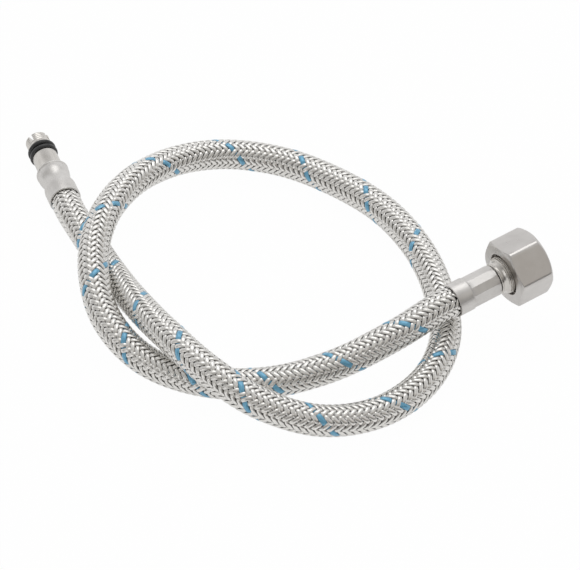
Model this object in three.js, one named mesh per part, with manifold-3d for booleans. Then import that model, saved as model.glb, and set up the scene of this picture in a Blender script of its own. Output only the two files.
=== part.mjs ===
// Braided flexible tap connector, lying in a loose loop as it comes out of its packet.
// An M10 slotted tail with two O-rings at one end, a half-inch swivel nut at the other.
// Millimetres, +Z up. The floor is Z = 0, and the origin is under the middle of the two end fittings.

import * as THREE from 'three';
import * as BufferGeometryUtils from 'three/addons/utils/BufferGeometryUtils.js';
import Module from 'manifold-3d';

const wasm = await Module();
wasm.setup();

// Running clearance between pieces that touch on the real connector
const CLEARANCE = 0.3;

// Hose
const HOSE_DIAMETER = 12;
const BRAID_THICKNESS = 0.6;
const LINER_BORE = 8;
const HOSE_SIDES = 12;
const HOSE_STEPS = 54;

// M10 end, measured along its axis from the hose end of its ferrule
const M10_HOSE_END = new THREE.Vector3(-85, 18.15, 6.8);
const M10_HEADING = 110.8;
const M10_TILT = -1;
const M10_FERRULE_LENGTH = 17.8;
const M10_FERRULE_MOUTH_DIAMETER = 12.8;
const M10_FERRULE_MOUTH_LENGTH = 7.9;
const M10_FERRULE_WAIST_DIAMETER = 11;
const M10_FERRULE_WAIST_START = 9.4;
const M10_FERRULE_WAIST_END = 12.6;
const M10_COLLAR_DIAMETER = 12.9;
const M10_COLLAR_START = 14;
const M10_RIM_ROUNDING = 0.8;
const M10_HOSE_SEAT = 13.2;
const M10_NECK_DIAMETER = 10.2;
const M10_NECK_END = 27.1;
const M10_THREAD_DIAMETER = 9.7;
const M10_LENGTH = 38.5;
const M10_TIP_CHAMFER = 0.8;
const TIP_SLOT_WIDTH = 1.6;
const TIP_SLOT_DEPTH = 4;
const TIP_SLOTS = 2;
const TIP_SLOT_ROLL = 53;

// O-rings, side by side in one groove
const O_RING_SECTION = 2.4;
const O_RING_OUTER_DIAMETER = 11.7;

// Half-inch end, measured along its axis from the hose end of its ferrule
const NUT_HOSE_END = new THREE.Vector3(64.8, -50.1, 19.2);
const NUT_HEADING = 31.7;
const NUT_TILT = 4.5;
const NUT_FERRULE_DIAMETER = 13;
const NUT_FERRULE_SKIRT = 6.5;
const NUT_FERRULE_LENGTH = 18.6;
const CRIMP_ACROSS_FLATS = 12;
const CRIMP_FLATS = 12;
const FERRULE_WALL = 0.6;
const NUT_HOSE_SEAT = 16.5;
const SHOULDER_DIAMETER = 12.4;
const SHOULDER_WIDTH = 0.9;
const FLARE_NECK_DIAMETER = 11.2;
const FLARE_MIDDLE_DIAMETER = 12.3;
const FLARE_DIAMETER = 14.8;
const FLARE_NECK_LENGTH = 0.2;
const FLARE_LENGTH = 2;
const BELL_LENGTH = 1.1;
const BELL_GROOVE_DEPTH = 0.4;
const BELL_GROOVE_WIDTH = 0.3;

// Swivel nut for a G1/2 thread
const NUT_ACROSS_FLATS = 24;
const NUT_LENGTH = 14.8;
const NUT_CHAMFER = 1.5;
const NUT_FRONT_CHAMFER = 2.25;
const NUT_FRONT_FACE_DIAMETER = 23;
const NUT_REAR_HOLE = 15.8;
const NUT_REAR_WALL = 2.2;
const CHAMFER_IN = 0.8;
const NUT_THREAD_BORE = 19.2;
const NUT_MOUTH_DIAMETER = 21;
const NUT_ROLL = 45.5;
const TAIL_FLANGE_DIAMETER = 18;
const TAIL_FLANGE_THICKNESS = 1.4;
const WASHER_DIAMETER = 18.4;
const WASHER_HOLE = 11;
const WASHER_THICKNESS = 2;

// Barbed spigots that the hose is pressed onto
const BARB_PITCH = 3.2;
const BARB_RISE = 0.35;
const BARB_SLOPE_SHARE = 0.8;
const SPIGOT_WALL = 0.7;
const BRAID_PRESSED = 0.45;
const LINER_PRESSED = 0.9;

// Broken edges on turned pieces, and the sheet-metal rounding of the pressed sleeves
const EDGE_BREAK = 0.4;
const SLEEVE_LIP = 0.3;

// Length over which a sleeve closes from its open mouth down to its pressed part
const CRIMP_RUN = 1;

// How far a cutter runs on past what it cuts, and how far the hose's joined stretches lap
const CUT_PAST = 2;
const LAP = 0.1;

// Facets round a turned piece
const ROUND_SIDES = 30;
const PRESSED_SIDES = 20;
const RING_SECTION_SIDES = 9;

// The hose's centreline between its ferrules: under itself beside the M10 end, over itself in front,
// round the right, back over the first crossing, and up over its own right side to the nut
const HOSE_ROUTE = [
  [-74.6, -4.1, 6.3], [-64.3, -24.6, 7.7], [-53.7, -46.2, 13], [-41.5, -66.9, 18.2],
  [-26.3, -84.5, 18], [-7.2, -96.7, 13], [15.3, -100.8, 8.2], [37.3, -94.5, 6.3],
  [54.4, -78.5, 6.1], [62.4, -56, 6.1], [60.6, -31.8, 6.1], [53.6, -8.3, 6.1],
  [40.7, 13, 6.1], [22.2, 29.5, 6.1], [0.8, 40.8, 6.6], [-22, 42.6, 9],
  [-42.8, 34, 12.9], [-58.9, 16.3, 17.4], [-68.4, -5.3, 19.5], [-71.3, -28.8, 17.2],
  [-65.6, -51.4, 11.4], [-51.1, -68.7, 7.3], [-29.9, -78.7, 6.2], [-5.4, -80.9, 7.1],
  [19.4, -75.8, 10.8], [42.6, -64.8, 15.6],
];
const STRAIGHT_LEAD = 7;

// How far the layers inside a ferrule reach back into the free hose
const NECKED_IN = 1.5;
// Where the spigot starts, and its first barb
const SPIGOT_START = 1;
const FIRST_BARB = 1.2;

const nickel = new THREE.MeshStandardMaterial({ color: 0xc9c4bb, roughness: 0.3, metalness: 1 });
const steel = new THREE.MeshStandardMaterial({ color: 0xbdbab6, roughness: 0.35, metalness: 1 });
const brassNickel = new THREE.MeshStandardMaterial({ color: 0xcfc7ba, roughness: 0.32, metalness: 1 });
const braidSteel = new THREE.MeshStandardMaterial({ color: 0xd6d5d2, roughness: 0.4, metalness: 0.9 });
const rubber = new THREE.MeshStandardMaterial({ color: 0x1c1b1c, roughness: 0.6, metalness: 0 });
const liner = new THREE.MeshStandardMaterial({ color: 0x2a2a2c, roughness: 0.7, metalness: 0 });

// A closed mesh as a solid that can be joined or cut
function toSolid(geometry) {
  const bare = geometry.clone();
  bare.deleteAttribute('normal');
  bare.deleteAttribute('uv');
  const merged = BufferGeometryUtils.mergeVertices(bare, 1e-4);
  return new wasm.Manifold(new wasm.Mesh({
    numProp: 3,
    vertProperties: merged.attributes.position.array,
    triVerts: Uint32Array.from(merged.index.array),
  }));
}

function toGeometry(solid) {
  const mesh = solid.getMesh();
  const geometry = new THREE.BufferGeometry();
  geometry.setAttribute('position', new THREE.BufferAttribute(mesh.vertProperties, 3));
  geometry.setIndex(new THREE.BufferAttribute(mesh.triVerts, 1));
  geometry.computeVertexNormals();
  return geometry;
}

// A turned piece about +Z, from [radius, height] pairs that start and end on the axis or close on themselves
function turned(profile, sides = ROUND_SIDES) {
  const points = profile.map(([radius, height]) => new THREE.Vector2(radius, height));
  return new THREE.LatheGeometry(points, sides).rotateX(Math.PI / 2);
}

// A turned ring or sleeve: its profile is closed back to its first point
function turnedRing(profile, sides = ROUND_SIDES) {
  return turned([...profile, profile[0]], sides);
}

// A prism about +Z with this many flats
function prism(acrossFlats, flats, start, end) {
  const corner = acrossFlats / 2 / Math.cos(Math.PI / flats);
  const geometry = new THREE.CylinderGeometry(corner, corner, end - start, flats);
  return geometry.rotateX(Math.PI / 2).translate(0, 0, (start + end) / 2);
}

function named(name, geometry, material) {
  const mesh = new THREE.Mesh(geometry, material);
  mesh.name = name;
  return mesh;
}

// A fitting's group: its own +Z runs along the fitting, away from the hose
function fittingGroup(hoseEnd, heading, tilt) {
  const group = new THREE.Group();
  group.position.copy(hoseEnd);
  const turn = THREE.MathUtils.degToRad(heading);
  group.rotation.set(0, Math.PI / 2 - THREE.MathUtils.degToRad(tilt), turn, 'ZYX');
  group.updateMatrixWorld(true);
  return group;
}

// Sawtooth barbs from start to end, rising away from the hose's open end
function barbProfile(radius, start, end) {
  const points = [];
  const count = Math.floor((end - start) / BARB_PITCH);
  const slope = BARB_PITCH * BARB_SLOPE_SHARE;
  for (let i = 0; i < count; i += 1) {
    const foot = start + i * BARB_PITCH;
    points.push([radius - BARB_RISE, foot], [radius, foot + slope], [radius - BARB_RISE, foot + slope]);
  }
  return points;
}

// The layers pressed between a ferrule of this outside radius and its spigot
function pressedLayers(ferruleRadius) {
  const braid = ferruleRadius - FERRULE_WALL - CLEARANCE;
  const hose = braid - BRAID_PRESSED - CLEARANCE;
  const spigot = hose - LINER_PRESSED - CLEARANCE;
  const bore = spigot - BARB_RISE - SPIGOT_WALL;
  return { braid, hose, spigot, bore };
}

function boreCutter(radius, length) {
  return new THREE.CylinderGeometry(radius, radius, length + 2 * CUT_PAST, ROUND_SIDES / 2)
    .rotateX(Math.PI / 2).translate(0, 0, length / 2);
}

// M10 end

const m10NeckRadius = M10_NECK_DIAMETER / 2;
const m10ThreadRadius = M10_THREAD_DIAMETER / 2;
const m10Pressed = pressedLayers(M10_FERRULE_WAIST_DIAMETER / 2);
const ringMajorRadius = O_RING_OUTER_DIAMETER / 2 - O_RING_SECTION / 2;
const grooveRadius = ringMajorRadius - O_RING_SECTION / 2 - CLEARANCE;
const grooveEnd = M10_NECK_END + 2 * O_RING_SECTION + 3 * CLEARANCE;
const innerRingPlace = M10_NECK_END + CLEARANCE + O_RING_SECTION / 2;
const outerRingPlace = innerRingPlace + O_RING_SECTION + CLEARANCE;
const collarInsideEnd = M10_FERRULE_LENGTH - FERRULE_WALL;

function m10Tail() {
  const collarStart = M10_HOSE_SEAT + CLEARANCE;
  const collarEnd = collarInsideEnd - CLEARANCE - EDGE_BREAK;
  const collarRadius = M10_COLLAR_DIAMETER / 2 - FERRULE_WALL - CLEARANCE;
  const body = turned([
    [0, SPIGOT_START],
    [m10Pressed.spigot - BARB_RISE, SPIGOT_START],
    ...barbProfile(m10Pressed.spigot, FIRST_BARB, M10_HOSE_SEAT - SPIGOT_START),
    [m10Pressed.spigot - BARB_RISE, collarStart],
    [m10Pressed.spigot + 2 * EDGE_BREAK, collarStart],
    [collarRadius, M10_COLLAR_START + 3 * CLEARANCE],
    [collarRadius, collarEnd],
    [m10NeckRadius, collarEnd],
    [m10NeckRadius, M10_NECK_END],
    [grooveRadius, M10_NECK_END],
    [grooveRadius, grooveEnd],
    [m10ThreadRadius, grooveEnd],
    [m10ThreadRadius, M10_LENGTH - M10_TIP_CHAMFER],
    [m10ThreadRadius - M10_TIP_CHAMFER, M10_LENGTH],
    [0, M10_LENGTH],
  ]);
  let solid = toSolid(body).subtract(toSolid(boreCutter(m10Pressed.bore, M10_LENGTH)));
  for (let i = 0; i < TIP_SLOTS; i += 1) {
    const slot = new THREE.BoxGeometry(TIP_SLOT_WIDTH, M10_THREAD_DIAMETER + 2 * CUT_PAST, TIP_SLOT_DEPTH * 2)
      .rotateZ(THREE.MathUtils.degToRad(TIP_SLOT_ROLL + 180 * i / TIP_SLOTS))
      .translate(0, 0, M10_LENGTH);
    solid = solid.subtract(toSolid(slot));
  }
  return toGeometry(solid);
}

// Crimped sleeve: a plain mouth, a waist pressed onto the barbs, and a collar rolled in to the neck
function m10Ferrule() {
  const mouth = M10_FERRULE_MOUTH_DIAMETER / 2;
  const waist = M10_FERRULE_WAIST_DIAMETER / 2;
  const collar = M10_COLLAR_DIAMETER / 2;
  const lip = m10NeckRadius + CLEARANCE;
  const outside = [
    [mouth - SLEEVE_LIP / 2, 0],
    [mouth, SLEEVE_LIP],
    [mouth, M10_FERRULE_MOUTH_LENGTH],
    [waist + SLEEVE_LIP / 2, M10_FERRULE_WAIST_START - SLEEVE_LIP],
    [waist, M10_FERRULE_WAIST_START],
    [waist, M10_FERRULE_WAIST_END - SLEEVE_LIP],
    [collar - SLEEVE_LIP, M10_COLLAR_START - SLEEVE_LIP],
    [collar, M10_COLLAR_START + SLEEVE_LIP],
    [collar, M10_FERRULE_LENGTH - M10_RIM_ROUNDING],
    [collar - M10_RIM_ROUNDING * 0.3, M10_FERRULE_LENGTH - M10_RIM_ROUNDING * 0.3],
    [collar - M10_RIM_ROUNDING, M10_FERRULE_LENGTH],
    [lip, M10_FERRULE_LENGTH],
  ];
  const inside = [
    [lip, collarInsideEnd],
    [collar - FERRULE_WALL, collarInsideEnd - SLEEVE_LIP],
    [collar - FERRULE_WALL, M10_COLLAR_START + FERRULE_WALL],
    [waist - FERRULE_WALL, M10_FERRULE_WAIST_END],
    [waist - FERRULE_WALL, M10_FERRULE_WAIST_START],
    [mouth - FERRULE_WALL, M10_FERRULE_MOUTH_LENGTH],
    [mouth - FERRULE_WALL, 0],
  ];
  return turnedRing([...outside, ...inside]);
}

function oRing(place) {
  const profile = [];
  for (let i = 0; i < RING_SECTION_SIDES; i += 1) {
    const angle = -2 * Math.PI * i / RING_SECTION_SIDES;
    profile.push([
      ringMajorRadius + O_RING_SECTION / 2 * Math.cos(angle),
      place - O_RING_SECTION / 2 * Math.sin(angle),
    ]);
  }
  return turnedRing(profile);
}

// Half-inch end

const nutPressed = pressedLayers(CRIMP_ACROSS_FLATS / 2);
const shoulderStart = NUT_FERRULE_LENGTH + CLEARANCE;
const shoulderEnd = shoulderStart + SHOULDER_WIDTH;
const flareStart = shoulderEnd + FLARE_NECK_LENGTH;
const flareEnd = flareStart + FLARE_LENGTH;
const nutBack = flareEnd + BELL_LENGTH;
const bellGroove = flareEnd + BELL_LENGTH / 4;
const flangeStart = nutBack + NUT_REAR_WALL + CLEARANCE;
const flangeEnd = flangeStart + TAIL_FLANGE_THICKNESS;
const nutFront = nutBack + NUT_LENGTH;

// Barbed tail: shoulder against the ferrule, a neck flaring out to the nut, and the flange inside the nut
function nutTail() {
  const { spigot } = nutPressed;
  const body = turned([
    [0, SPIGOT_START],
    [spigot - BARB_RISE, SPIGOT_START],
    ...barbProfile(spigot, FIRST_BARB, NUT_HOSE_SEAT - SPIGOT_START),
    [spigot - BARB_RISE, shoulderStart],
    [SHOULDER_DIAMETER / 2 - EDGE_BREAK, shoulderStart],
    [SHOULDER_DIAMETER / 2, shoulderStart + EDGE_BREAK],
    [SHOULDER_DIAMETER / 2, shoulderEnd - EDGE_BREAK],
    [SHOULDER_DIAMETER / 2 - EDGE_BREAK, shoulderEnd],
    [FLARE_NECK_DIAMETER / 2, shoulderEnd],
    [FLARE_NECK_DIAMETER / 2, flareStart],
    [FLARE_MIDDLE_DIAMETER / 2, (flareStart + flareEnd) / 2],
    [FLARE_DIAMETER / 2, flareEnd],
    [FLARE_DIAMETER / 2, bellGroove],
    [FLARE_DIAMETER / 2 - BELL_GROOVE_DEPTH, bellGroove],
    [FLARE_DIAMETER / 2 - BELL_GROOVE_DEPTH, bellGroove + BELL_GROOVE_WIDTH],
    [FLARE_DIAMETER / 2, bellGroove + BELL_GROOVE_WIDTH],
    [FLARE_DIAMETER / 2, flangeStart],
    [TAIL_FLANGE_DIAMETER / 2, flangeStart],
    [TAIL_FLANGE_DIAMETER / 2, flangeEnd],
    [0, flangeEnd],
  ]);
  return toGeometry(toSolid(body).subtract(toSolid(boreCutter(nutPressed.bore, flangeEnd))));
}

// Crimped sleeve: a plain skirt, then a length pressed into flats, with an edge between them
function nutFerrule() {
  const outer = NUT_FERRULE_DIAMETER / 2;
  const pressed = CRIMP_ACROSS_FLATS / 2;
  const blank = turned([
    [0, 0],
    [outer - SLEEVE_LIP / 2, 0],
    [outer, SLEEVE_LIP],
    [outer, NUT_FERRULE_LENGTH - EDGE_BREAK],
    [outer - EDGE_BREAK, NUT_FERRULE_LENGTH],
    [0, NUT_FERRULE_LENGTH],
  ]);
  const past = NUT_FERRULE_LENGTH + CUT_PAST;
  const skirt = turned([
    [0, -CUT_PAST],
    [outer + CUT_PAST, -CUT_PAST],
    [outer + CUT_PAST, NUT_FERRULE_SKIRT],
    [0, NUT_FERRULE_SKIRT],
  ]);
  const flats = prism(CRIMP_ACROSS_FLATS, CRIMP_FLATS, NUT_FERRULE_SKIRT - EDGE_BREAK, past);
  const inside = turned([
    [0, -CUT_PAST],
    [outer - FERRULE_WALL, -CUT_PAST],
    [outer - FERRULE_WALL, NUT_FERRULE_SKIRT - CRIMP_RUN / 2],
    [pressed - FERRULE_WALL, NUT_FERRULE_SKIRT + CRIMP_RUN / 2],
    [pressed - FERRULE_WALL, past],
    [0, past],
  ]);
  const shape = toSolid(blank).intersect(toSolid(skirt).add(toSolid(flats)));
  return toGeometry(shape.subtract(toSolid(inside)));
}

// Swivel nut: chamfered hexagon, small rear hole behind the tail's flange, threaded socket in front
function hexNut() {
  const corner = NUT_ACROSS_FLATS / 2 / Math.cos(Math.PI / 6);
  const flat = NUT_ACROSS_FLATS / 2;
  const hexagon = prism(NUT_ACROSS_FLATS, 6, nutBack, nutFront)
    .rotateZ(THREE.MathUtils.degToRad(NUT_ROLL));
  const rounding = turned([
    [0, nutBack],
    [flat, nutBack],
    [corner + EDGE_BREAK / 2, nutBack + NUT_CHAMFER],
    [corner + EDGE_BREAK / 2, nutFront - NUT_FRONT_CHAMFER],
    [(corner + flat) / 2, nutFront - NUT_FRONT_CHAMFER / 3],
    [NUT_FRONT_FACE_DIAMETER / 2, nutFront],
    [0, nutFront],
  ], ROUND_SIDES * 2);
  const socketStart = nutBack + NUT_REAR_WALL;
  const socket = turned([
    [0, nutBack - CUT_PAST],
    [NUT_REAR_HOLE / 2 + CHAMFER_IN, nutBack - CUT_PAST],
    [NUT_REAR_HOLE / 2 + CHAMFER_IN, nutBack],
    [NUT_REAR_HOLE / 2, nutBack + CHAMFER_IN],
    [NUT_REAR_HOLE / 2, socketStart],
    [NUT_THREAD_BORE / 2, socketStart],
    [NUT_THREAD_BORE / 2, nutFront - (NUT_MOUTH_DIAMETER - NUT_THREAD_BORE) / 2],
    [NUT_MOUTH_DIAMETER / 2, nutFront],
    [NUT_MOUTH_DIAMETER / 2, nutFront + CUT_PAST],
    [0, nutFront + CUT_PAST],
  ]);
  return toGeometry(toSolid(hexagon).intersect(toSolid(rounding)).subtract(toSolid(socket)));
}

function sealingWasher() {
  const start = flangeEnd + CLEARANCE;
  const end = start + WASHER_THICKNESS;
  const outer = WASHER_DIAMETER / 2;
  const inner = WASHER_HOLE / 2;
  return turnedRing([[inner, start], [outer, start], [outer, end], [inner, end]]);
}

// Hose

const alongM10 = fittingGroup(M10_HOSE_END, M10_HEADING, M10_TILT);
const alongNut = fittingGroup(NUT_HOSE_END, NUT_HEADING, NUT_TILT);

// A point on a fitting's axis, this far from the hose end of its ferrule
function onAxis(fitting, distance) {
  return new THREE.Vector3(0, 0, distance).applyMatrix4(fitting.matrixWorld);
}

function hosePath() {
  return new THREE.CatmullRomCurve3([
    onAxis(alongM10, -CLEARANCE),
    onAxis(alongM10, -STRAIGHT_LEAD),
    ...HOSE_ROUTE.map(([x, y, z]) => new THREE.Vector3(x, y, z)),
    onAxis(alongNut, -STRAIGHT_LEAD),
    onAxis(alongNut, -CLEARANCE),
  ], false, 'centripetal');
}

function circlePoints(radius, clockwise) {
  const points = [];
  for (let i = 0; i < HOSE_SIDES; i += 1) {
    const angle = (clockwise ? -1 : 1) * 2 * Math.PI * i / HOSE_SIDES;
    points.push(new THREE.Vector2(radius * Math.cos(angle), radius * Math.sin(angle)));
  }
  return points;
}

// A tube with this outside and inside radius along the hose's path
function sweptTube(outer, inner) {
  const section = new THREE.Shape(circlePoints(outer, false));
  section.holes.push(new THREE.Path(circlePoints(inner, true)));
  return new THREE.ExtrudeGeometry(section, {
    steps: HOSE_STEPS,
    extrudePath: hosePath(),
    curveSegments: 1,
    bevelEnabled: false,
  });
}

const braidOuter = HOSE_DIAMETER / 2;
const braidInner = braidOuter - BRAID_THICKNESS;
const linerOuter = braidInner * Math.cos(Math.PI / HOSE_SIDES) - CLEARANCE;
const linerInner = LINER_BORE / 2;

// The layers pressed inside a ferrule, as outside and inside radius pairs at heights along its axis
function pressedLayer(stations, thickness) {
  const outside = stations.map(([radius, height]) => [radius, height]);
  const inside = stations.map(([radius, height]) => [radius - thickness, height]).reverse();
  return turnedRing([...outside, ...inside], PRESSED_SIDES);
}

function m10BraidStations() {
  const mouth = M10_FERRULE_MOUTH_DIAMETER / 2 - FERRULE_WALL - CLEARANCE;
  return [
    [mouth, -NECKED_IN],
    [mouth, M10_FERRULE_MOUTH_LENGTH - CRIMP_RUN / 2],
    [m10Pressed.braid, M10_FERRULE_WAIST_START],
    [m10Pressed.braid, M10_HOSE_SEAT],
  ];
}

function nutBraidStations() {
  const mouth = NUT_FERRULE_DIAMETER / 2 - FERRULE_WALL - CLEARANCE;
  return [
    [mouth, -NECKED_IN],
    [mouth, NUT_FERRULE_SKIRT - CRIMP_RUN - CLEARANCE],
    [nutPressed.braid, NUT_FERRULE_SKIRT + CLEARANCE],
    [nutPressed.braid, NUT_HOSE_SEAT],
  ];
}

// The liner lies inside the braid all the way, so its stations follow the braid's
function linerStations(stations) {
  const inward = BRAID_PRESSED + CLEARANCE;
  return stations.map(([radius, height], i) => [
    i < 2 ? Math.min(radius - inward, linerOuter - LAP) : radius - inward,
    height,
  ]);
}

function joinedHose(tube, m10Layer, nutLayer) {
  return toGeometry(toSolid(tube)
    .add(toSolid(m10Layer.applyMatrix4(alongM10.matrixWorld)))
    .add(toSolid(nutLayer.applyMatrix4(alongNut.matrixWorld))));
}

function braidSleeve() {
  return joinedHose(
    sweptTube(braidOuter, braidInner),
    pressedLayer(m10BraidStations(), BRAID_PRESSED),
    pressedLayer(nutBraidStations(), BRAID_PRESSED),
  );
}

function innerHose() {
  return joinedHose(
    sweptTube(linerOuter, linerInner),
    pressedLayer(linerStations(m10BraidStations()), LINER_PRESSED),
    pressedLayer(linerStations(nutBraidStations()), LINER_PRESSED),
  );
}

const connector = new THREE.Group();
alongM10.add(
  named('m10_tail', m10Tail(), brassNickel),
  named('o_ring_inner', oRing(innerRingPlace), rubber),
  named('o_ring_outer', oRing(outerRingPlace), rubber),
  named('m10_ferrule', m10Ferrule(), steel),
);
alongNut.add(
  named('nut_tail', nutTail(), brassNickel),
  named('nut_ferrule', nutFerrule(), steel),
  named('hex_nut', hexNut(), nickel),
  named('sealing_washer', sealingWasher(), rubber),
);
connector.add(
  alongM10,
  alongNut,
  named('inner_hose', innerHose(), liner),
  named('braid_sleeve', braidSleeve(), braidSteel),
);

export default connector;
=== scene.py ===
"""Looks for the braided tap connector: interlaced wire braid, turned and pressed fittings, studio.

Metres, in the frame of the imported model. The fittings' profiles and their sizes are in millimetres, each
point as (radius, height), height running along the fitting's axis from the hose end of its ferrule.
"""

import math

import bpy
import numpy as np
from mathutils import Matrix, Vector


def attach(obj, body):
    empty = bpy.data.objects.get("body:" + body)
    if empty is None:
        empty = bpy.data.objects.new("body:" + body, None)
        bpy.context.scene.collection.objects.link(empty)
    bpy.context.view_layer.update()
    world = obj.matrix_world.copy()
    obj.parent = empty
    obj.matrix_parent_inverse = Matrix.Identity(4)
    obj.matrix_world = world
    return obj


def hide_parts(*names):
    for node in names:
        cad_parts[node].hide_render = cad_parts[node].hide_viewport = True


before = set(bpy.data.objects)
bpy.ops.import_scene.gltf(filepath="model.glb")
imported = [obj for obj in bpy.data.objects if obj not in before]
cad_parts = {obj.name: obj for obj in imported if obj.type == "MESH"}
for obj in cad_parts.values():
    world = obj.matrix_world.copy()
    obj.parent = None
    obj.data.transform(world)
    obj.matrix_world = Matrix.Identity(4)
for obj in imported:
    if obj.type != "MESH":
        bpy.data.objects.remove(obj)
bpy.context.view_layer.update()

MM = 0.001

# The photograph's view: 45 degrees down, from the -Y side, with a long lens
VIEW_TARGET = Vector((0.00380, -0.02250, 0.0))
VIEW_DISTANCE = 1.1
VIEW_ELEVATION = math.radians(45)
VIEW_LENS = 176.4

# Fittings: hose end of the ferrule in metres, heading and tilt in degrees
M10_END = ((-0.08500, 0.01815, 0.00680), 110.8, -1.0)
NUT_END = ((0.06480, -0.05010, 0.01920), 31.7, 4.5)

# Hose, in metres: the same route as in the CAD, joined to straight leads out of both ferrules
STRAIGHT_LEAD = 0.007
MOUTH_GAP = 0.0003
POINTS_PER_SPAN = 40
HOSE_ROUTE = [
    (-0.07460, -0.00410, 0.00630), (-0.06430, -0.02460, 0.00770), (-0.05370, -0.04620, 0.01300),
    (-0.04150, -0.06690, 0.01820), (-0.02630, -0.08450, 0.01800), (-0.00720, -0.09670, 0.01300),
    (0.01530, -0.10080, 0.00820), (0.03730, -0.09450, 0.00630), (0.05440, -0.07850, 0.00610),
    (0.06240, -0.05600, 0.00610), (0.06060, -0.03180, 0.00610), (0.05360, -0.00830, 0.00610),
    (0.04070, 0.01300, 0.00610), (0.02220, 0.02950, 0.00610), (0.00080, 0.04080, 0.00660),
    (-0.02200, 0.04260, 0.00900), (-0.04280, 0.03400, 0.01290), (-0.05890, 0.01630, 0.01740),
    (-0.06840, -0.00530, 0.01950), (-0.07130, -0.02880, 0.01720), (-0.06560, -0.05140, 0.01140),
    (-0.05110, -0.06870, 0.00730), (-0.02990, -0.07870, 0.00620), (-0.00540, -0.08090, 0.00710),
    (0.01940, -0.07580, 0.01080), (0.04260, -0.06480, 0.01560),
]
# Step of the finished centreline, and how far the hose runs on into each ferrule
PATH_STEP_MM = 0.25
INTO_FERRULE_MM = 4.5

# Braid: twelve strands wind each way, two over and two under; one of them is blue
CARRIERS = 12
LEAD_MM = 31.0
BRAID_MEAN_RADIUS_MM = 5.70
BRAID_WAVE_MM = 0.26
WEAVE_STEEPNESS = 2.2
BRAID_STEP_MM = 0.36
STRAND_WIDTH_MM = 1.62
BLUE_STRAND_WIDTH_MM = 2.05
BLUE_STRAND_RAISED_MM = 0.04
# A strand's section: places across it as parts of its width, and how far each stands out
STRAND_PLACES = np.array([-0.5, -0.39, 0.0, 0.39, 0.5])
STRAND_CROWN_MM = np.array([-0.24, -0.03, 0.06, -0.03, -0.24])
WIRES_PER_STRAND = 6
# Painted shade at the sides of each strand: its colour darkens to this share of its dark tone. The
# darkening starts this far from the strand's middle, given as a part of its width, and is full at its
# sides
PAINTED_EDGE_SHADE = 0.3
PAINTED_EDGE_SHADE_FROM = 0.43
# Texture coordinates of a strand: length of one unit, and the shift from one strand to the next
UV_LENGTH_MM = 2.0
UV_SHIFT = 7.3
# Where the blue strand is uppermost, along the hose in millimetres: it shows how the hose is twisted
TRACER_TURNS_MM = [
    -9, 22, 48, 75, 103.5, 134, 164, 192, 223, 256, 290,
    323, 354, 384, 418, 455, 487, 517, 546, 574, 602, 629,
]
# Shifts along the hose over which the twist is averaged
TWIST_SMOOTHING_MM = (-24, -12, 0, 12, 24)
# The hose draws in by this much, over this length, where it enters the ferrules
NECKING_MM = 0.42
NECKING_LENGTH_MM = 2.4
NECKING_PAST_MOUTH_MM = 0.6
# The liner under the braid
LINER_RADIUS_MM = 5.28
LINER_STEP_MM = 1.5
LINER_SIDES = 24
# Step of the path that the cord's row gives
CORD_STEP_MM = 4.0

# Turned pieces: edges sharper than this stay crisp
SHARP_EDGE = math.radians(38)
# Rounding of a profile: the part of a side it may use, the smallest cut, and what counts as straight
SIDE_USED = 0.45
SMALLEST_CUT = 0.01
STRAIGHT_COSINE = -0.985


# Path of the hose

def fitting_matrix(end):
    """From a fitting's own frame, +Z along its axis, to the model's."""
    (x, y, z), heading, tilt = end
    h = math.radians(heading)
    t = math.radians(tilt)
    along = Vector((math.cos(t) * math.cos(h), math.cos(t) * math.sin(h), math.sin(t)))
    side = Vector((-math.sin(h), math.cos(h), 0.0))
    down = side.cross(along)
    rotation = Matrix((down, side, along)).transposed().to_4x4()
    return Matrix.Translation((x, y, z)) @ rotation


M10 = fitting_matrix(M10_END)
NUT = fitting_matrix(NUT_END)


def on_axis(matrix, distance):
    """The point on a fitting's axis this far from the hose end of its ferrule."""
    return np.array(matrix @ Vector((0.0, 0.0, distance)))


def centripetal(points):
    """Catmull-Rom curve through the points, as in the CAD route."""
    p = np.vstack([2 * points[0] - points[1], points, 2 * points[-1] - points[-2]])
    out = []
    for i in range(1, len(p) - 2):
        p0, p1, p2, p3 = p[i - 1:i + 3]
        t1 = np.linalg.norm(p1 - p0) ** 0.5
        t2 = t1 + np.linalg.norm(p2 - p1) ** 0.5
        t3 = t2 + np.linalg.norm(p3 - p2) ** 0.5
        for u in range(POINTS_PER_SPAN):
            t = t1 + u / POINTS_PER_SPAN * (t2 - t1)
            a1 = (t1 - t) / t1 * p0 + t / t1 * p1
            a2 = (t2 - t) / (t2 - t1) * p1 + (t - t1) / (t2 - t1) * p2
            a3 = (t3 - t) / (t3 - t2) * p2 + (t - t2) / (t3 - t2) * p3
            b1 = (t2 - t) / t2 * a1 + t / t2 * a2
            b2 = (t3 - t) / (t3 - t1) * a2 + (t - t1) / (t3 - t1) * a3
            out.append((t2 - t) / (t2 - t1) * b1 + (t - t1) / (t2 - t1) * b2)
    out.append(p[-2])
    return np.array(out)


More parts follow.
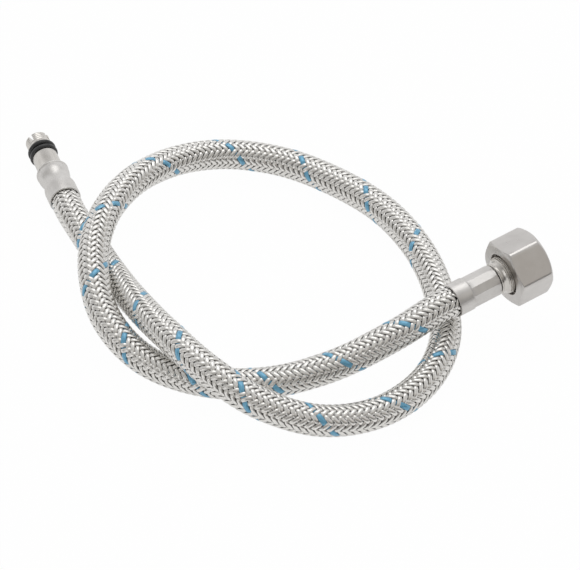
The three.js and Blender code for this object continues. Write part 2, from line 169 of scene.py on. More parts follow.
class HosePath:
    """The hose's centreline by arc length in mm from the M10 ferrule, running on into both ferrules."""

    def __init__(self):
        route = [on_axis(M10, -MOUTH_GAP), on_axis(M10, -STRAIGHT_LEAD)]
        route += [np.array(p) for p in HOSE_ROUTE]
        route += [on_axis(NUT, -STRAIGHT_LEAD), on_axis(NUT, -MOUTH_GAP)]
        free = centripetal(np.array(route)) / MM
        inside = np.arange(INTO_FERRULE_MM, 0.0, -PATH_STEP_MM)
        start = np.array([on_axis(M10, d * MM) / MM for d in inside])
        end = np.array([on_axis(NUT, d * MM) / MM for d in inside[::-1]])
        line = np.vstack([start, free, end])
        steps = np.linalg.norm(np.diff(line, axis=0), axis=1)
        length = np.concatenate([[0.0], np.cumsum(steps)])
        length -= length[len(start)]
        self.low = length[0]
        self.high = length[-1]
        self.free_length = length[len(start) + len(free) - 1]
        self.s = np.arange(self.low, self.high, PATH_STEP_MM)
        self.point = np.stack([np.interp(self.s, length, line[:, i]) for i in range(3)], 1)
        self.tangent = np.gradient(self.point, axis=0)
        self.tangent /= np.linalg.norm(self.tangent, axis=1)[:, None]
        self.normal = np.zeros_like(self.point)
        v = np.array([0.0, 0.0, 1.0])
        for i, t in enumerate(self.tangent):
            v = v - v.dot(t) * t
            v /= np.linalg.norm(v)
            self.normal[i] = v
        self.binormal = np.cross(self.tangent, self.normal)

    def at(self, s, angle, radius):
        """Points on the hose at arc length s, this angle round it, and radius in mm, as metres."""
        def pick(values):
            return np.stack([np.interp(s, self.s, values[:, i]) for i in range(3)], -1)
        up = np.cos(angle)[..., None] * pick(self.normal)
        across = np.sin(angle)[..., None] * pick(self.binormal)
        return (pick(self.point) + (up + across) * np.asarray(radius)[..., None]) * MM


hose = HosePath()


# Meshes

def link(name, data):
    """An object with this data, in the scene."""
    item = bpy.data.objects.new(name, data)
    bpy.context.scene.collection.objects.link(item)
    return item


def grid_faces(rows, columns, wrap_rows=False, wrap_columns=False):
    """Quads of a rows by columns grid of points, as an array."""
    r, c = np.meshgrid(
        np.arange(rows if wrap_rows else rows - 1),
        np.arange(columns if wrap_columns else columns - 1),
        indexing="ij",
    )
    this_row = r * columns
    next_row = (r + 1) % rows * columns
    next_c = (c + 1) % columns
    quads = np.stack([this_row + c, this_row + next_c, next_row + next_c, next_row + c], -1)
    return quads.reshape(-1, 4)


def fast_mesh(name, verts, quads, uvs, material):
    """A mesh from arrays: verts (n, 3), quads (m, 4), and one uv pair for each vertex."""
    mesh = bpy.data.meshes.new(name)
    mesh.vertices.add(len(verts))
    mesh.vertices.foreach_set("co", verts.astype(np.float32).ravel())
    mesh.loops.add(quads.size)
    mesh.loops.foreach_set("vertex_index", quads.astype(np.int32).ravel())
    mesh.polygons.add(len(quads))
    mesh.polygons.foreach_set("loop_start", np.arange(0, quads.size, 4, dtype=np.int32))
    mesh.polygons.foreach_set("use_smooth", [True] * len(quads))
    mesh.update(calc_edges=True)
    layer = mesh.uv_layers.new(name="UVMap")
    layer.data.foreach_set("uv", uvs[quads.ravel()].astype(np.float32).ravel())
    mesh.materials.append(material)
    mesh.validate()
    return link(name, mesh)


def rounded(profile, radius, steps=4, closed=False):
    """The profile with its corners rounded by this radius, or less where a side is short."""
    pts = [Vector((r, z)) for r, z in profile]
    count = len(pts)
    out = []
    for i, p in enumerate(pts):
        if not closed and i in (0, count - 1):
            out.append((p.x, p.y))
            continue
        before = pts[i - 1] - p
        after = pts[(i + 1) % count] - p
        cut = min(radius, SIDE_USED * before.length, SIDE_USED * after.length)
        straight = before.normalized().dot(after.normalized()) < STRAIGHT_COSINE
        if straight or cut < SMALLEST_CUT:
            out.append((p.x, p.y))
            continue
        a = p + before.normalized() * cut
        b = p + after.normalized() * cut
        for k in range(steps + 1):
            t = k / steps
            q = a * (1 - t) ** 2 + p * 2 * t * (1 - t) + b * t ** 2
            out.append((q.x, q.y))
    return out


def lathe(name, profile, material, matrix, sides=96, shape=None, angles=None):
    """A turned piece from a closed profile. shape(angle, radius, height) may change its radius."""
    if angles is None:
        angles = [2 * math.pi * i / sides for i in range(sides)]
    verts = []
    for r, z in profile:
        for a in angles:
            rr = shape(a, r, z) if shape else r
            verts.append((rr * math.cos(a) * MM, rr * math.sin(a) * MM, z * MM))
    mesh = bpy.data.meshes.new(name)
    mesh.from_pydata(verts, [], grid_faces(len(profile), len(angles), True, True).tolist())
    mesh.materials.append(material)
    mesh.polygons.foreach_set("use_smooth", [True] * len(mesh.polygons))
    mesh.update()
    mesh.set_sharp_from_angle(angle=SHARP_EDGE)
    piece = link(name, mesh)
    piece.matrix_world = matrix
    return piece


# Materials

def new_material(name):
    """A material, its node tree and its shader."""
    material = bpy.data.materials.new(name)
    material.use_nodes = True
    tree = material.node_tree
    return material, tree, tree.nodes["Principled BSDF"]


def add(tree, kind, **values):
    """A node with these inputs and settings."""
    node = tree.nodes.new(kind)
    for key, value in values.items():
        if key in node.inputs:
            node.inputs[key].default_value = value
        else:
            setattr(node, key, value)
    return node


def math_node(tree, operation, *inputs):
    """A math node's result. Each input is a number or another node's output."""
    node = add(tree, "ShaderNodeMath", operation=operation)
    for socket, value in zip(node.inputs, inputs):
        if isinstance(value, float):
            socket.default_value = value
        else:
            tree.links.new(value, socket)
    return node.outputs["Value"]


def mix_colours(tree, factor, a, b):
    """Colour a where the factor is 0 and b where it is 1. Each is a colour or a node's output."""
    node = add(tree, "ShaderNodeMix", data_type="RGBA")
    tree.links.new(factor, node.inputs["Factor"])
    for socket, value in (("A", a), ("B", b)):
        if isinstance(value, tuple):
            node.inputs[socket].default_value = (*value, 1.0)
        else:
            tree.links.new(value, node.inputs[socket])
    return node.outputs["Result"]


def noise(tree, vector, scale, detail):
    node = add(tree, "ShaderNodeTexNoise", Scale=scale, Detail=detail, Roughness=0.55)
    tree.links.new(vector, node.inputs["Vector"])
    return node.outputs["Fac"]


def ranged(tree, value, low, high, from_low=0.0, from_high=1.0):
    """The value mapped from one range to another."""
    node = tree.nodes.new("ShaderNodeMapRange")
    node.inputs["From Min"].default_value = from_low
    node.inputs["From Max"].default_value = from_high
    node.inputs["To Min"].default_value = low
    node.inputs["To Max"].default_value = high
    tree.links.new(value, node.inputs["Value"])
    return node.outputs["Result"]


def ramp(tree, value, stops):
    """A colour for the value, from (position, colour) stops."""
    node = tree.nodes.new("ShaderNodeValToRGB")
    elements = node.color_ramp.elements
    while len(elements) < len(stops):
        elements.new(0.5)
    for element, (position, colour) in zip(elements, stops):
        element.position = position
        element.color = (*colour, 1.0)
    tree.links.new(value, node.inputs["Fac"])
    return node.outputs["Color"]


def bump(tree, height, strength, distance, normal=None):
    node = add(tree, "ShaderNodeBump", Strength=strength, Distance=distance)
    tree.links.new(height, node.inputs["Height"])
    if normal is not None:
        tree.links.new(normal, node.inputs["Normal"])
    return node.outputs["Normal"]


def plated(name, dark, light, rough_low, rough_high, lines=1.0):
    """Nickel plate or satin steel: soft mottling, fine turning marks round the axis, faint grain."""
    material, tree, shader = new_material(name)
    place = tree.nodes.new("ShaderNodeTexCoord").outputs["Object"]
    stretch = tree.nodes.new("ShaderNodeMapping")
    stretch.inputs["Scale"].default_value = (60.0, 60.0, 2600.0)
    tree.links.new(place, stretch.inputs["Vector"])
    mottle = noise(tree, place, 170.0, 4.0)
    turning = noise(tree, stretch.outputs["Vector"], 1.0, 2.0)
    grain = noise(tree, place, 1500.0, 2.0)
    colour = ramp(tree, mottle, [(0.3, dark), (0.7, light)])
    tree.links.new(colour, shader.inputs["Base Color"])
    tree.links.new(ranged(tree, mottle, rough_low, rough_high, 0.3, 0.7), shader.inputs["Roughness"])
    shader.inputs["Metallic"].default_value = 1.0
    first = bump(tree, turning, 0.22 * lines, 0.00005)
    tree.links.new(bump(tree, grain, 0.12, 0.00003, first), shader.inputs["Normal"])
    return material


def rubber(name, colour, rough):
    """Moulded rubber with a fine grain and a little dust."""
    material, tree, shader = new_material(name)
    place = tree.nodes.new("ShaderNodeTexCoord").outputs["Object"]
    grain = noise(tree, place, 900.0, 3.0)
    dust = noise(tree, place, 120.0, 3.0)
    darker = tuple(0.6 * c for c in colour)
    tone = ramp(tree, dust, [(0.35, darker), (0.7, colour)])
    tree.links.new(tone, shader.inputs["Base Color"])
    tree.links.new(ranged(tree, dust, rough - 0.07, rough + 0.1), shader.inputs["Roughness"])
    tree.links.new(bump(tree, grain, 0.15, 0.00004), shader.inputs["Normal"])
    return material


def strand(name, dark, light, metallic, rough_low, rough_high, coat=0.0):
    """A flat bundle of parallel wires, each with its own tone. The outermost wires are darkened in colour
    as painted shade, which stands in for the shade where strands meet and dip under.
    """
    material, tree, shader = new_material(name)
    uv = tree.nodes.new("ShaderNodeUVMap").outputs["UV"]
    split = tree.nodes.new("ShaderNodeSeparateXYZ")
    tree.links.new(uv, split.inputs["Vector"])
    across = split.outputs["X"]
    turn = math_node(tree, "MULTIPLY", across, 2 * math.pi * WIRES_PER_STRAND)
    wave = math_node(tree, "COSINE", turn)
    stretch = tree.nodes.new("ShaderNodeMapping")
    stretch.inputs["Scale"].default_value = (2.0 * WIRES_PER_STRAND, 1.2, 1.0)
    tree.links.new(uv, stretch.inputs["Vector"])
    tone = noise(tree, stretch.outputs["Vector"], 1.0, 2.0)
    # Painted shade: the colour darkens towards both sides of the strand, standing in for the shade in the
    # grooves between strands
    to_edge = math_node(tree, "ABSOLUTE", math_node(tree, "SUBTRACT", across, 0.5))
    painted_shade_mask = ranged(tree, to_edge, 0.0, 1.0, PAINTED_EDGE_SHADE_FROM, 0.5)
    wires = ramp(tree, tone, [(0.25, dark), (0.7, light)])
    painted_shade_colour = tuple(PAINTED_EDGE_SHADE * c for c in dark)
    tree.links.new(mix_colours(tree, painted_shade_mask, wires, painted_shade_colour), shader.inputs["Base Color"])
    tree.links.new(ranged(tree, tone, rough_high, rough_low, 0.3, 0.7), shader.inputs["Roughness"])
    shader.inputs["Metallic"].default_value = metallic
    shader.inputs["Coat Weight"].default_value = coat
    shader.inputs["Coat Roughness"].default_value = rough_low
    profile = ranged(tree, wave, 1.0, 0.0, -1.0, 1.0)
    tree.links.new(bump(tree, profile, 0.3, 0.00006), shader.inputs["Normal"])
    return material


nickel = plated("nickel", (0.60, 0.575, 0.54), (0.71, 0.685, 0.65), 0.20, 0.28)
nut_nickel = plated("nut_nickel", (0.59, 0.57, 0.55), (0.675, 0.655, 0.635), 0.27, 0.36, 0.5)
ferrule_steel = plated("ferrule_steel", (0.64, 0.62, 0.60), (0.77, 0.755, 0.735), 0.38, 0.48, 1.2)
wire = strand("braid_wire", (0.67, 0.655, 0.63), (0.95, 0.935, 0.905), 1.0, 0.18, 0.27)
blue_wire = strand("tracer_wire", (0.085, 0.31, 0.52), (0.24, 0.58, 0.80), 0.4, 0.22, 0.34, 0.7)
black_rubber = rubber("black_rubber", (0.040, 0.040, 0.042), 0.30)
liner_rubber = rubber("liner_rubber", (0.035, 0.034, 0.036), 0.6)


# Braid

def smooth_step(x):
    x = np.clip(x, 0.0, 1.0)
    return x * x * (3 - 2 * x)


def necking(s):
    """How much the hose draws in, in mm, where it enters the ferrules."""
    m10 = 1 - smooth_step((s + NECKING_PAST_MOUTH_MM) / NECKING_LENGTH_MM)
    nut = 1 - smooth_step((hose.free_length - s + NECKING_PAST_MOUTH_MM) / NECKING_LENGTH_MM)
    return NECKING_MM * np.maximum(m10, nut)


def turns(s):
    """Turns of the blue strand at arc length s, smoothed between the places where it is seen.

    Beyond the first and the last of them it keeps its usual lead.
    """
    known = np.array(TRACER_TURNS_MM, float)
    before = known[0] - LEAD_MM * np.arange(4, 0, -1)
    after = known[-1] + LEAD_MM * np.arange(1, 4)
    places = np.concatenate([before, known, after])
    counts = np.arange(-4.0, len(known) + 3.0)
    total = np.zeros_like(s)
    for shift in TWIST_SMOOTHING_MM:
        total += np.interp(s + shift, places, counts) - shift / LEAD_MM
    return total / len(TWIST_SMOOTHING_MM)


def weave(place):
    """Rise of a strand at this crossing count: two over, two under, with quick changes between."""
    wave = np.cos(2 * math.pi * (place - 0.5) / 4)
    return np.tanh(WEAVE_STEEPNESS * wave) / math.tanh(WEAVE_STEEPNESS)


def strand_mesh(name, way, carriers, material, width=STRAND_WIDTH_MM, raised=0.0):
    """The strands that wind one way round the hose, way being 1 or -1."""
    s_line = np.arange(hose.low, hose.high, BRAID_STEP_MM)
    slope = math.atan2(2 * math.pi * BRAID_MEAN_RADIUS_MM, LEAD_MM)
    all_verts = []
    all_quads = []
    all_uvs = []
    count = 0
    for k in carriers:
        s0, across = np.meshgrid(s_line, STRAND_PLACES, indexing="ij")
        v = across * width
        s = np.clip(s0 - way * math.sin(slope) * v, hose.low, hose.high)
        twist = 2 * math.pi * (turns(s0) - s0 / LEAD_MM)
        angle0 = way * 2 * math.pi * s0 / LEAD_MM + twist + 2 * math.pi * k / CARRIERS
        angle = angle0 + math.cos(slope) * v / BRAID_MEAN_RADIUS_MM
        twist_here = 2 * math.pi * (turns(s) - s / LEAD_MM)
        other = CARRIERS / (2 * math.pi) * (angle + way * 2 * math.pi * s / LEAD_MM - twist_here)
        rise = way * BRAID_WAVE_MM * weave(other + k)
        radius = BRAID_MEAN_RADIUS_MM + raised + rise + STRAND_CROWN_MM[None, :] - necking(s)
        verts = hose.at(s, angle, radius).reshape(-1, 3)
        uvs = np.stack([across + 0.5, s0 / UV_LENGTH_MM + UV_SHIFT * k], -1).reshape(-1, 2)
        quads = grid_faces(len(s_line), len(STRAND_PLACES))
        if way > 0:
            quads = quads[:, ::-1]
        all_verts.append(verts)
        all_uvs.append(uvs)
        all_quads.append(quads + count)
        count += len(verts)
    return fast_mesh(
        name, np.vstack(all_verts), np.vstack(all_quads), np.vstack(all_uvs), material)


right_hand = strand_mesh("braid_right_hand", 1, range(1, CARRIERS), wire)
left_hand = strand_mesh("braid_left_hand", -1, range(CARRIERS), wire)
tracer = strand_mesh(
    "braid_blue_strand", 1, [0], blue_wire, BLUE_STRAND_WIDTH_MM, BLUE_STRAND_RAISED_MM)


def core_mesh():
    """The dark liner that shows through the gaps in the braid."""
    s, angle = np.meshgrid(
        np.arange(hose.low, hose.high, LINER_STEP_MM),
        np.arange(LINER_SIDES) * (2 * math.pi / LINER_SIDES),
        indexing="ij",
    )
    verts = hose.at(s, angle, LINER_RADIUS_MM - necking(s)).reshape(-1, 3)
    uvs = np.stack([angle, s / 10], -1).reshape(-1, 2)
    quads = grid_faces(s.shape[0], s.shape[1], wrap_columns=True)
    return fast_mesh("hose_liner", verts, quads, uvs, liner_rubber)


liner = core_mesh()
for piece in (right_hand, left_hand, tracer, liner):
    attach(piece, "hose")
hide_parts("braid_sleeve")
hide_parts("braid_sleeve")
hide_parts("braid_sleeve")
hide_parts("inner_hose")

cord_path = hose.at(np.arange(hose.low, hose.high, CORD_STEP_MM), np.zeros(1), np.zeros(1))


# M10 end

TIP_RADIUS = 4.85
TIP_OUTSIDE_FROM = 4.5
TIP_END = 38.5
THREAD_START = 33.1
THREAD_END = 37.5
THREAD_PITCH = 1.0
THREAD_DEPTH = 0.14
THREAD_FADE = 0.6
THREAD_ROW = 0.125
SLOT_WIDTH = 1.6
SLOT_DEPTH = 4.0
SLOT_CUT_LENGTH = 14
SLOT_TURN = 53
O_RING_MEAN_RADIUS = 4.72
O_RING_CORD_RADIUS = 1.08
O_RING_STEPS = 20
O_RING_INNER_PLACE = 28.6
O_RING_OUTER_PLACE = 31.3


def m10_thread(angle, radius, height):
    """A shallow right-hand thread on the tip's outside."""
    if radius < TIP_OUTSIDE_FROM or height < THREAD_START or height > THREAD_END:
        return radius
    fade = min(1.0, (height - THREAD_START) / THREAD_FADE, (THREAD_END - height) / THREAD_FADE)
    phase = (height / THREAD_PITCH - angle / (2 * math.pi)) % 1.0
    return radius - THREAD_DEPTH * fade * (1 - abs(2 * phase - 1)) ** 1.2


def m10_tail():
    """The slotted tail: spigot, shoulder, neck, O-ring groove, and a threaded tip with two slots."""
    outside = rounded([
        (1.6, 1.0), (2.3, 1.0), (2.3, 13.5), (3.3, 13.7), (5.5, 15.0), (5.5, 16.4), (5.1, 16.5),
        (5.1, 27.1), (3.15, 27.1), (3.15, 32.8), (TIP_RADIUS, 32.8), (TIP_RADIUS, THREAD_START),
    ], 0.18)
    row_count = int((THREAD_END - THREAD_START) / THREAD_ROW)
    rows = [(TIP_RADIUS, THREAD_START + THREAD_ROW * i) for i in range(1, row_count + 1)]
    tip = rounded([
        (TIP_RADIUS, THREAD_END), (TIP_RADIUS, 37.7), (4.05, TIP_END), (1.9, TIP_END), (1.6, 38.2),
        (1.6, 30.0),
    ], 0.2)
    piece = lathe("m10_tail_turned", outside + rows + tip[1:], nickel, M10, shape=m10_thread)
    cutters = []
    for i in range(2):
        bpy.ops.mesh.primitive_cube_add(size=1.0)
        cutter = bpy.context.object
        turn = Matrix.Rotation(math.radians(SLOT_TURN + 90 * i), 4, "Z")
        size = Matrix.Diagonal((SLOT_WIDTH * MM, SLOT_CUT_LENGTH * MM, 2 * SLOT_DEPTH * MM, 1.0))
        cutter.matrix_world = M10 @ Matrix.Translation((0, 0, TIP_END * MM)) @ turn @ size
        modifier = piece.modifiers.new("slot", "BOOLEAN")
        modifier.operation = "DIFFERENCE"
        modifier.solver = "EXACT"
        modifier.object = cutter
        cutters.append(cutter)
    bake(piece)
    for cutter in cutters:
        bpy.data.objects.remove(cutter, do_unlink=True)
    piece.data.set_sharp_from_angle(angle=SHARP_EDGE)
    return piece


def bake(piece):
    """Applies the piece's modifiers to its mesh."""
    bpy.context.view_layer.update()
    graph = bpy.context.evaluated_depsgraph_get()
    mesh = bpy.data.meshes.new_from_object(piece.evaluated_get(graph))
    old = piece.data
    piece.modifiers.clear()
    piece.data = mesh
    bpy.data.meshes.remove(old)


def m10_ferrule():
    """The sleeve at the M10 end: mouth, pressed waist, collar, and a fine bead at its rim."""
    outside = rounded([
        (5.8, 0.0), (6.4, 0.0), (6.4, 7.2), (5.72, 9.3), (5.68, 11.6), (6.36, 14.0), (6.42, 16.2),
    ], 1.6, steps=8)
    rim = rounded([
        (6.42, 16.2), (6.3, 16.5), (6.62, 16.9), (6.58, 17.4), (6.1, 17.8), (5.4, 17.8), (5.35, 17.2),
    ], 0.25)
    inside = [(5.85, 16.8), (5.85, 14.8), (4.9, 12.6), (4.9, 9.6), (5.8, 7.9)]
    return lathe("m10_ferrule_pressed", outside + rim[1:] + inside, ferrule_steel, M10, sides=128)


def o_ring(name, place):
    """An O-ring with its middle at this height."""
    profile = []
    for i in range(O_RING_STEPS):
        a = -2 * math.pi * i / O_RING_STEPS
        profile.append((
            O_RING_MEAN_RADIUS + O_RING_CORD_RADIUS * math.cos(a),
            place - O_RING_CORD_RADIUS * math.sin(a),
        ))
    return lathe(name, profile, black_rubber, M10)


# Nut end

NUT_BACK = 23.1
NUT_FRONT = 37.9
NUT_FLAT = 12.0
NUT_CORNER = NUT_FLAT / math.cos(math.pi / 6)
NUT_BLANK = NUT_CORNER + 0.35
NUT_OUTSIDE_FROM = 11.0
NUT_ROLL = math.radians(45.5)
NUT_CORNER_ROUNDING = 2.2
NUT_EDGE_BLEND = 0.3
BACK_CHAMFER = 1.0
FRONT_CHAMFER_LENGTH = 3.0
FRONT_CHAMFER_DROP = 2.6
FRONT_CHAMFER_CURVE = 1.9
SOCKET_RADIUS = 9.6
SOCKET_ROW = 0.2
SOCKET_THREAD_FRONT = NUT_FRONT - 1.05
SOCKET_THREAD_BACK = 26.2
SOCKET_THREAD_PITCH = 1.814
SOCKET_THREAD_DEPTH = 0.45
PRESSED_FROM = 6.9
PRESSED_OUTSIDE_FROM = 5.85
PRESSED_FLATS = 12
PRESSED_FLAT = 6.0
PRESSED_EDGE_BLEND = 0.05


def soft_min(a, b, k):
    """The smaller of two lengths, blended where they are within k of each other."""
    h = max(k - abs(a - b), 0.0) / k
    return min(a, b) - h * h * k / 4


def polygon_radius(angle, flat, sides):
    """Radius at this angle of a polygon with its flats at radius flat and a corner at 90 degrees."""
    step = 2 * math.pi / sides
    from_flat = abs((angle - math.pi / 2) % step - step / 2)
    return flat / math.cos(from_flat)


def rounded_hexagon(angle):
    """Radius of the nut's hexagon at this angle, its corners rounded."""
    rounding = NUT_CORNER_ROUNDING
    half = math.pi / 6
    from_corner = (angle - NUT_ROLL - math.pi / 2 + half) % (2 * half) - half
    centre = (NUT_FLAT - rounding) / math.cos(half)
    tangent = math.atan(rounding * math.sin(half) / (centre + rounding * math.cos(half)))
    if abs(from_corner) > tangent:
        return NUT_FLAT / math.cos(half - abs(from_corner))
    across = centre * math.sin(from_corner)
    return centre * math.cos(from_corner) + math.sqrt(rounding ** 2 - across ** 2)


def nut_shape(angle, radius, height):
    """The hexagon cut from the turned blank, and the thread in the socket."""
    if radius == SOCKET_RADIUS and SOCKET_THREAD_BACK < height <= SOCKET_THREAD_FRONT:
        phase = (height / SOCKET_THREAD_PITCH - angle / (2 * math.pi)) % 1.0
        return radius - SOCKET_THREAD_DEPTH * (1 - abs(2 * phase - 1)) ** 0.9
    if radius < NUT_OUTSIDE_FROM:
        return radius
    return soft_min(rounded_hexagon(angle), radius, NUT_EDGE_BLEND)


def corner_angles(sides, roll, dense, spread, coarse):
    """Angles round a polygon: this many over the spread in degrees at each corner, fewer between."""
    angles = []
    step = 2 * math.pi / sides
    for i in range(sides):
        corner = roll + math.pi / 2 + i * step
        for j in range(dense):
            angles.append(corner + math.radians(spread) * (j / (dense - 1) - 0.5))
        gap = step - math.radians(spread)
        for j in range(1, coarse):
            angles.append(corner + math.radians(spread) / 2 + gap * j / coarse)
    return angles


def hex_nut():
    """The swivel nut: chamfered behind, a rounder chamfer in front, and a threaded socket."""
    back = [(8.4, 25.3), (8.4, 23.3), (8.55, NUT_BACK), (NUT_OUTSIDE_FROM, NUT_BACK)]
    rise = []
    for i in range(10):
        t = i / 9
        rise.append((NUT_FLAT + (NUT_BLANK - NUT_FLAT) * t, NUT_BACK + BACK_CHAMFER * t))
    side = [(NUT_BLANK, NUT_BACK + BACK_CHAMFER + 0.9 * i) for i in range(1, 12)]
    fall = []
    for i in range(13):
        t = i / 12
        fall.append((
            NUT_BLANK - FRONT_CHAMFER_DROP * t ** FRONT_CHAMFER_CURVE,
            NUT_FRONT - FRONT_CHAMFER_LENGTH + FRONT_CHAMFER_LENGTH * t,
        ))
    front = [(NUT_OUTSIDE_FROM, NUT_FRONT), (10.5, NUT_FRONT), (SOCKET_RADIUS, NUT_FRONT - 0.9)]
    socket = []
    z = SOCKET_THREAD_FRONT
    while z > SOCKET_THREAD_BACK:
        socket.append((SOCKET_RADIUS, z))
        z -= SOCKET_ROW
    inside = [(SOCKET_RADIUS, 25.9), (9.4, 25.3)]
    return lathe(
        "hex_nut_plated", back + rise + side + fall + front + socket + inside, nut_nickel, NUT,
        shape=nut_shape, angles=corner_angles(6, NUT_ROLL, dense=15, spread=10.5, coarse=14))


def nut_tail():
    """The tail in the nut: spigot, shoulder ring, flared neck with fine beads, and the flange."""
    outside = rounded([
        (2.1, 1.0), (2.8, 1.0), (2.8, 18.9), (5.8, 18.9), (6.2, 19.2), (6.2, 19.5), (5.8, 19.8),
        (5.6, 19.82), (5.65, 20.2), (6.1, 20.9), (6.7, 21.5), (7.2, 21.7), (7.3, 21.85), (7.2, 22.0),
        (6.8, 22.05), (6.8, 22.3), (7.3, 22.35), (7.4, 22.5), (7.3, 22.65), (6.9, 22.7), (6.9, 22.95),
        (7.4, 23.0), (7.4, 25.6), (9.0, 25.6), (9.0, 27.0), (2.1, 27.0),
    ], 0.12, closed=True)
    return lathe("nut_tail_turned", outside, nickel, NUT)


def ferrule_shape(angle, radius, height):
    """Pressed flats on the outside of the sleeve, beyond its skirt."""
    if radius < PRESSED_OUTSIDE_FROM or height <= PRESSED_FROM:
        return radius
    flats = polygon_radius(angle, PRESSED_FLAT, PRESSED_FLATS)
    return soft_min(flats, radius, PRESSED_EDGE_BLEND)


def nut_ferrule():
    """The sleeve at the nut end: a plain skirt, then the pressed flats."""
    outside = [(5.9, 0.0), (6.3, 0.0), (6.45, 0.08), (6.5, 0.25), (6.5, 6.0), (6.46, 6.35), (6.25, 6.6)]
    pressed = [
        (6.24, 6.95), (6.24, 9.0), (6.24, 12.0), (6.24, 15.0), (6.24, 18.2), (6.0, 18.5), (5.7, 18.6),
    ]
    inside = [(5.4, 18.6), (5.4, 7.0), (5.9, 6.0)]
    return lathe(
        "nut_ferrule_pressed", outside + pressed + inside, ferrule_steel, NUT,
        shape=ferrule_shape,
        angles=corner_angles(PRESSED_FLATS, 0.0, dense=5, spread=3.0, coarse=5))


def washer():
    """The rubber washer inside the nut."""
    profile = rounded([(5.5, 27.3), (9.2, 27.3), (9.2, 29.3), (5.5, 29.3)], 0.25, closed=True)
    return lathe("washer_rubber", profile, black_rubber, NUT)


# How each is made, the solid it replaces, its body and its slot
FITTINGS = [
    (m10_tail, (), "m10_tail", "hose", "plated_brass"),
    (m10_ferrule, (), "m10_ferrule", "hose", "ferrule_steel"),
    (o_ring, ("o_ring_inner_moulded", O_RING_INNER_PLACE), "o_ring_inner", "hose", "seal_rubber"),
    (o_ring, ("o_ring_outer_moulded", O_RING_OUTER_PLACE), "o_ring_outer", "hose", "seal_rubber"),
    (nut_tail, (), "nut_tail", "hose", "plated_brass"),
    (nut_ferrule, (), "nut_ferrule", "hose", "ferrule_steel"),
    (hex_nut, (), "hex_nut", "nut", "nut_nickel"),
    (washer, (), "sealing_washer", "nut", "seal_rubber"),
]
for make, values, node, body, slot in FITTINGS:
    piece = make(*values)
    bpy.context.view_layer.update()
    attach(piece, body)
    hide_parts(node)


# Studio

WHITE = (1.0, 1.0, 1.0)
# How much of the floor is plain white to the camera, and in the metal's reflections
FLOOR_TO_CAMERA = 0.98
FLOOR_IN_REFLECTIONS = 0.6
# The room's two halves, in front of the part and behind it, blend over this much of the sky
ROOM_BLEND = 0.4


def background_rays(tree):
    """Whether a ray shows the background as the camera does, and whether it is a reflection."""
    rays = tree.nodes.new("ShaderNodeLightPath").outputs
    direct = math_node(tree, "MAXIMUM", rays["Is Camera Ray"], rays["Is Transmission Ray"])
    return direct, rays["Is Glossy Ray"]


def floor():
    """Pale and matt, which keeps the part's shadow, with plain white mixed in for the camera."""
    bpy.ops.mesh.primitive_plane_add(size=12.0, location=(0.0, 2.0, -0.0002))
    plane = bpy.context.object
    plane.name = "floor"
    material, tree, shader = new_material("floor")
    shader.inputs["Base Color"].default_value = (0.93, 0.93, 0.93, 1.0)
    shader.inputs["Roughness"].default_value = 0.9
    shader.inputs["Specular IOR Level"].default_value = 0.1
    glow = add(tree, "ShaderNodeEmission", Color=(*WHITE, 1.0), Strength=1.0)
    direct, reflected = background_rays(tree)
    seen = math_node(tree, "MULTIPLY", direct, FLOOR_TO_CAMERA)
    part = math_node(tree, "MULTIPLY_ADD", reflected, FLOOR_IN_REFLECTIONS, seen)
    mix = tree.nodes.new("ShaderNodeMixShader")
    tree.links.new(part, mix.inputs["Fac"])
    tree.links.new(shader.outputs["BSDF"], mix.inputs[1])
    tree.links.new(glow.outputs["Emission"], mix.inputs[2])
    tree.links.new(mix.outputs["Shader"], tree.nodes["Material Output"].inputs["Surface"])
    plane.data.materials.append(material)


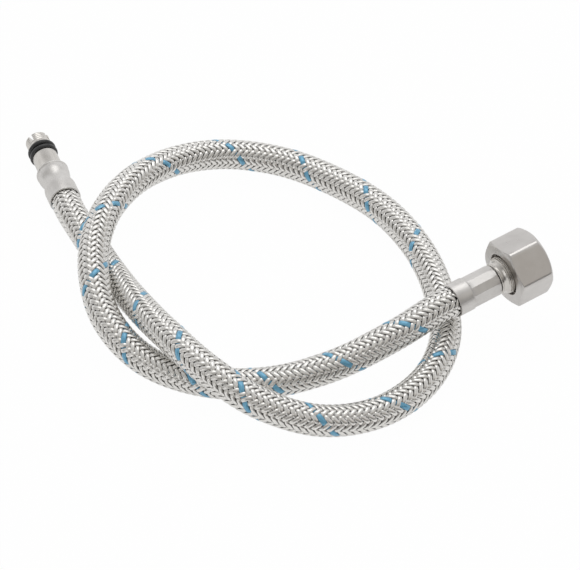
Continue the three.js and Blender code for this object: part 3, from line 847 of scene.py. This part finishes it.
def sky():
    """Plain white to the camera; for the metal, a room darker in front of the part than behind."""
    world = bpy.data.worlds.new("studio")
    bpy.context.scene.world = world
    world.use_nodes = True
    tree = world.node_tree
    back = tree.nodes["Background"]
    place = tree.nodes.new("ShaderNodeTexCoord").outputs["Generated"]
    split = tree.nodes.new("ShaderNodeSeparateXYZ")
    tree.links.new(place, split.inputs["Vector"])
    height = ranged(tree, split.outputs["Z"], 0.0, 1.0, -1.0, 1.0)
    front = ramp(tree, height, [
        (0.0, (0.60, 0.60, 0.60)), (0.46, (0.30, 0.295, 0.29)), (0.50, (0.06, 0.057, 0.055)),
        (0.61, (0.09, 0.087, 0.085)), (0.71, (0.34, 0.33, 0.315)), (0.85, (0.45, 0.44, 0.42)),
        (1.0, (0.68, 0.68, 0.675)),
    ])
    behind = ramp(tree, height, [
        (0.0, (0.60, 0.60, 0.60)), (0.50, (0.82, 0.82, 0.825)), (0.66, (0.98, 0.98, 0.985)),
        (0.79, (0.60, 0.60, 0.605)), (1.0, (0.68, 0.68, 0.675)),
    ])
    depth = ranged(tree, split.outputs["Y"], 0.0, 1.0, -ROOM_BLEND, ROOM_BLEND)
    room = mix_colours(tree, depth, front, behind)
    direct, _ = background_rays(tree)
    tree.links.new(mix_colours(tree, direct, room, WHITE), back.inputs["Color"])
    back.inputs["Strength"].default_value = 1.0


def softbox(name, place, size, energy, colour=WHITE):
    """A rectangular lamp that faces the origin."""
    light = bpy.data.lights.new(name, "AREA")
    light.shape = "RECTANGLE"
    light.size, light.size_y = size
    light.energy = energy
    light.color = colour
    lamp = link(name, light)
    lamp.location = place
    lamp.rotation_euler = (-Vector(place)).to_track_quat("-Z", "Y").to_euler()


def camera():
    """The photograph's view."""
    data = bpy.data.cameras.new("camera")
    data.lens = VIEW_LENS
    data.sensor_width = 36.0
    eye = link("camera", data)
    back = Vector((0.0, -math.cos(VIEW_ELEVATION), math.sin(VIEW_ELEVATION)))
    eye.location = VIEW_TARGET + back * VIEW_DISTANCE
    eye.rotation_euler = (math.pi / 2 - VIEW_ELEVATION, 0.0, 0.0)
    bpy.context.scene.camera = eye


floor()
sky()
softbox("key", (0.05, 0.50, 1.10), (0.9, 0.7), 2.4)
softbox("side", (0.9, -0.52, 0.77), (0.7, 0.7), 0.35, (1.0, 0.92, 0.84))
softbox("front", (-0.75, -0.85, 0.35), (0.7, 0.4), 0.9)
camera()
bpy.context.scene.view_settings.view_transform = "Standard"
